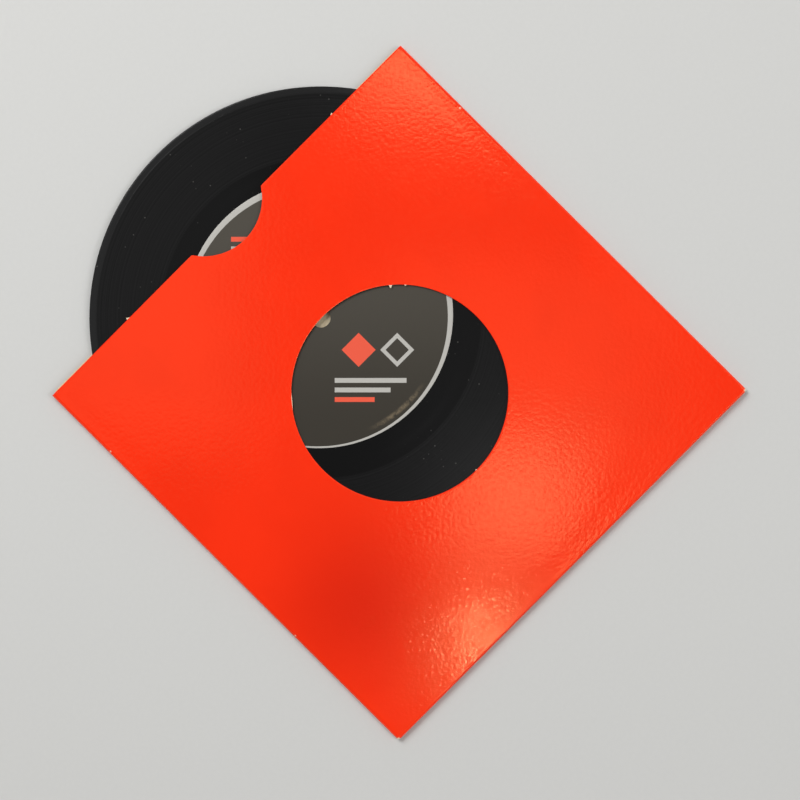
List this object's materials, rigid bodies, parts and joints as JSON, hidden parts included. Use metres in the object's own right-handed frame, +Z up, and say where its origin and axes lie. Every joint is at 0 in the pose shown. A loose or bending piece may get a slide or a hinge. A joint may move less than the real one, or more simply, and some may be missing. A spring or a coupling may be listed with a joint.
{
  "type": "record sleeve",
  "caption": "Square card sleeve with a round window and a thumb notch, folded from one sheet and glued, holding a small vinyl record that slides out of its open mouth.",
  "frame": {"origin": "middle of the sleeve's back panel, on its outer face, which the part lies on", "axes": "+X along the mouth, +Y out of the mouth, the way the record comes out, +Z up through the windowed front panel"},
  "size_m": [0.186, 0.2202, 0.003],
  "materials": {
    "sleeve_card": "gloss coated orange red outside, bare cream card inside and on the cut edges",
    "black_vinyl": "pressed black vinyl, smooth dead wax and rim, fine round grooves",
    "label_paper": "printed label paper, warm dark grey with a light grey border ring"
  },
  "bodies": {
    "sleeve": {"sleeve": "sleeve_card"},
    "record": {"record": "black_vinyl", "label_front": "label_paper", "label_back": "label_paper"}
  },
  "joints": [
    {"name": "record_slide", "type": "slide", "parent": "sleeve", "child": "record", "axis": [0, 1, 0], "range_m": [-0.044, 0.12]}
  ]
}
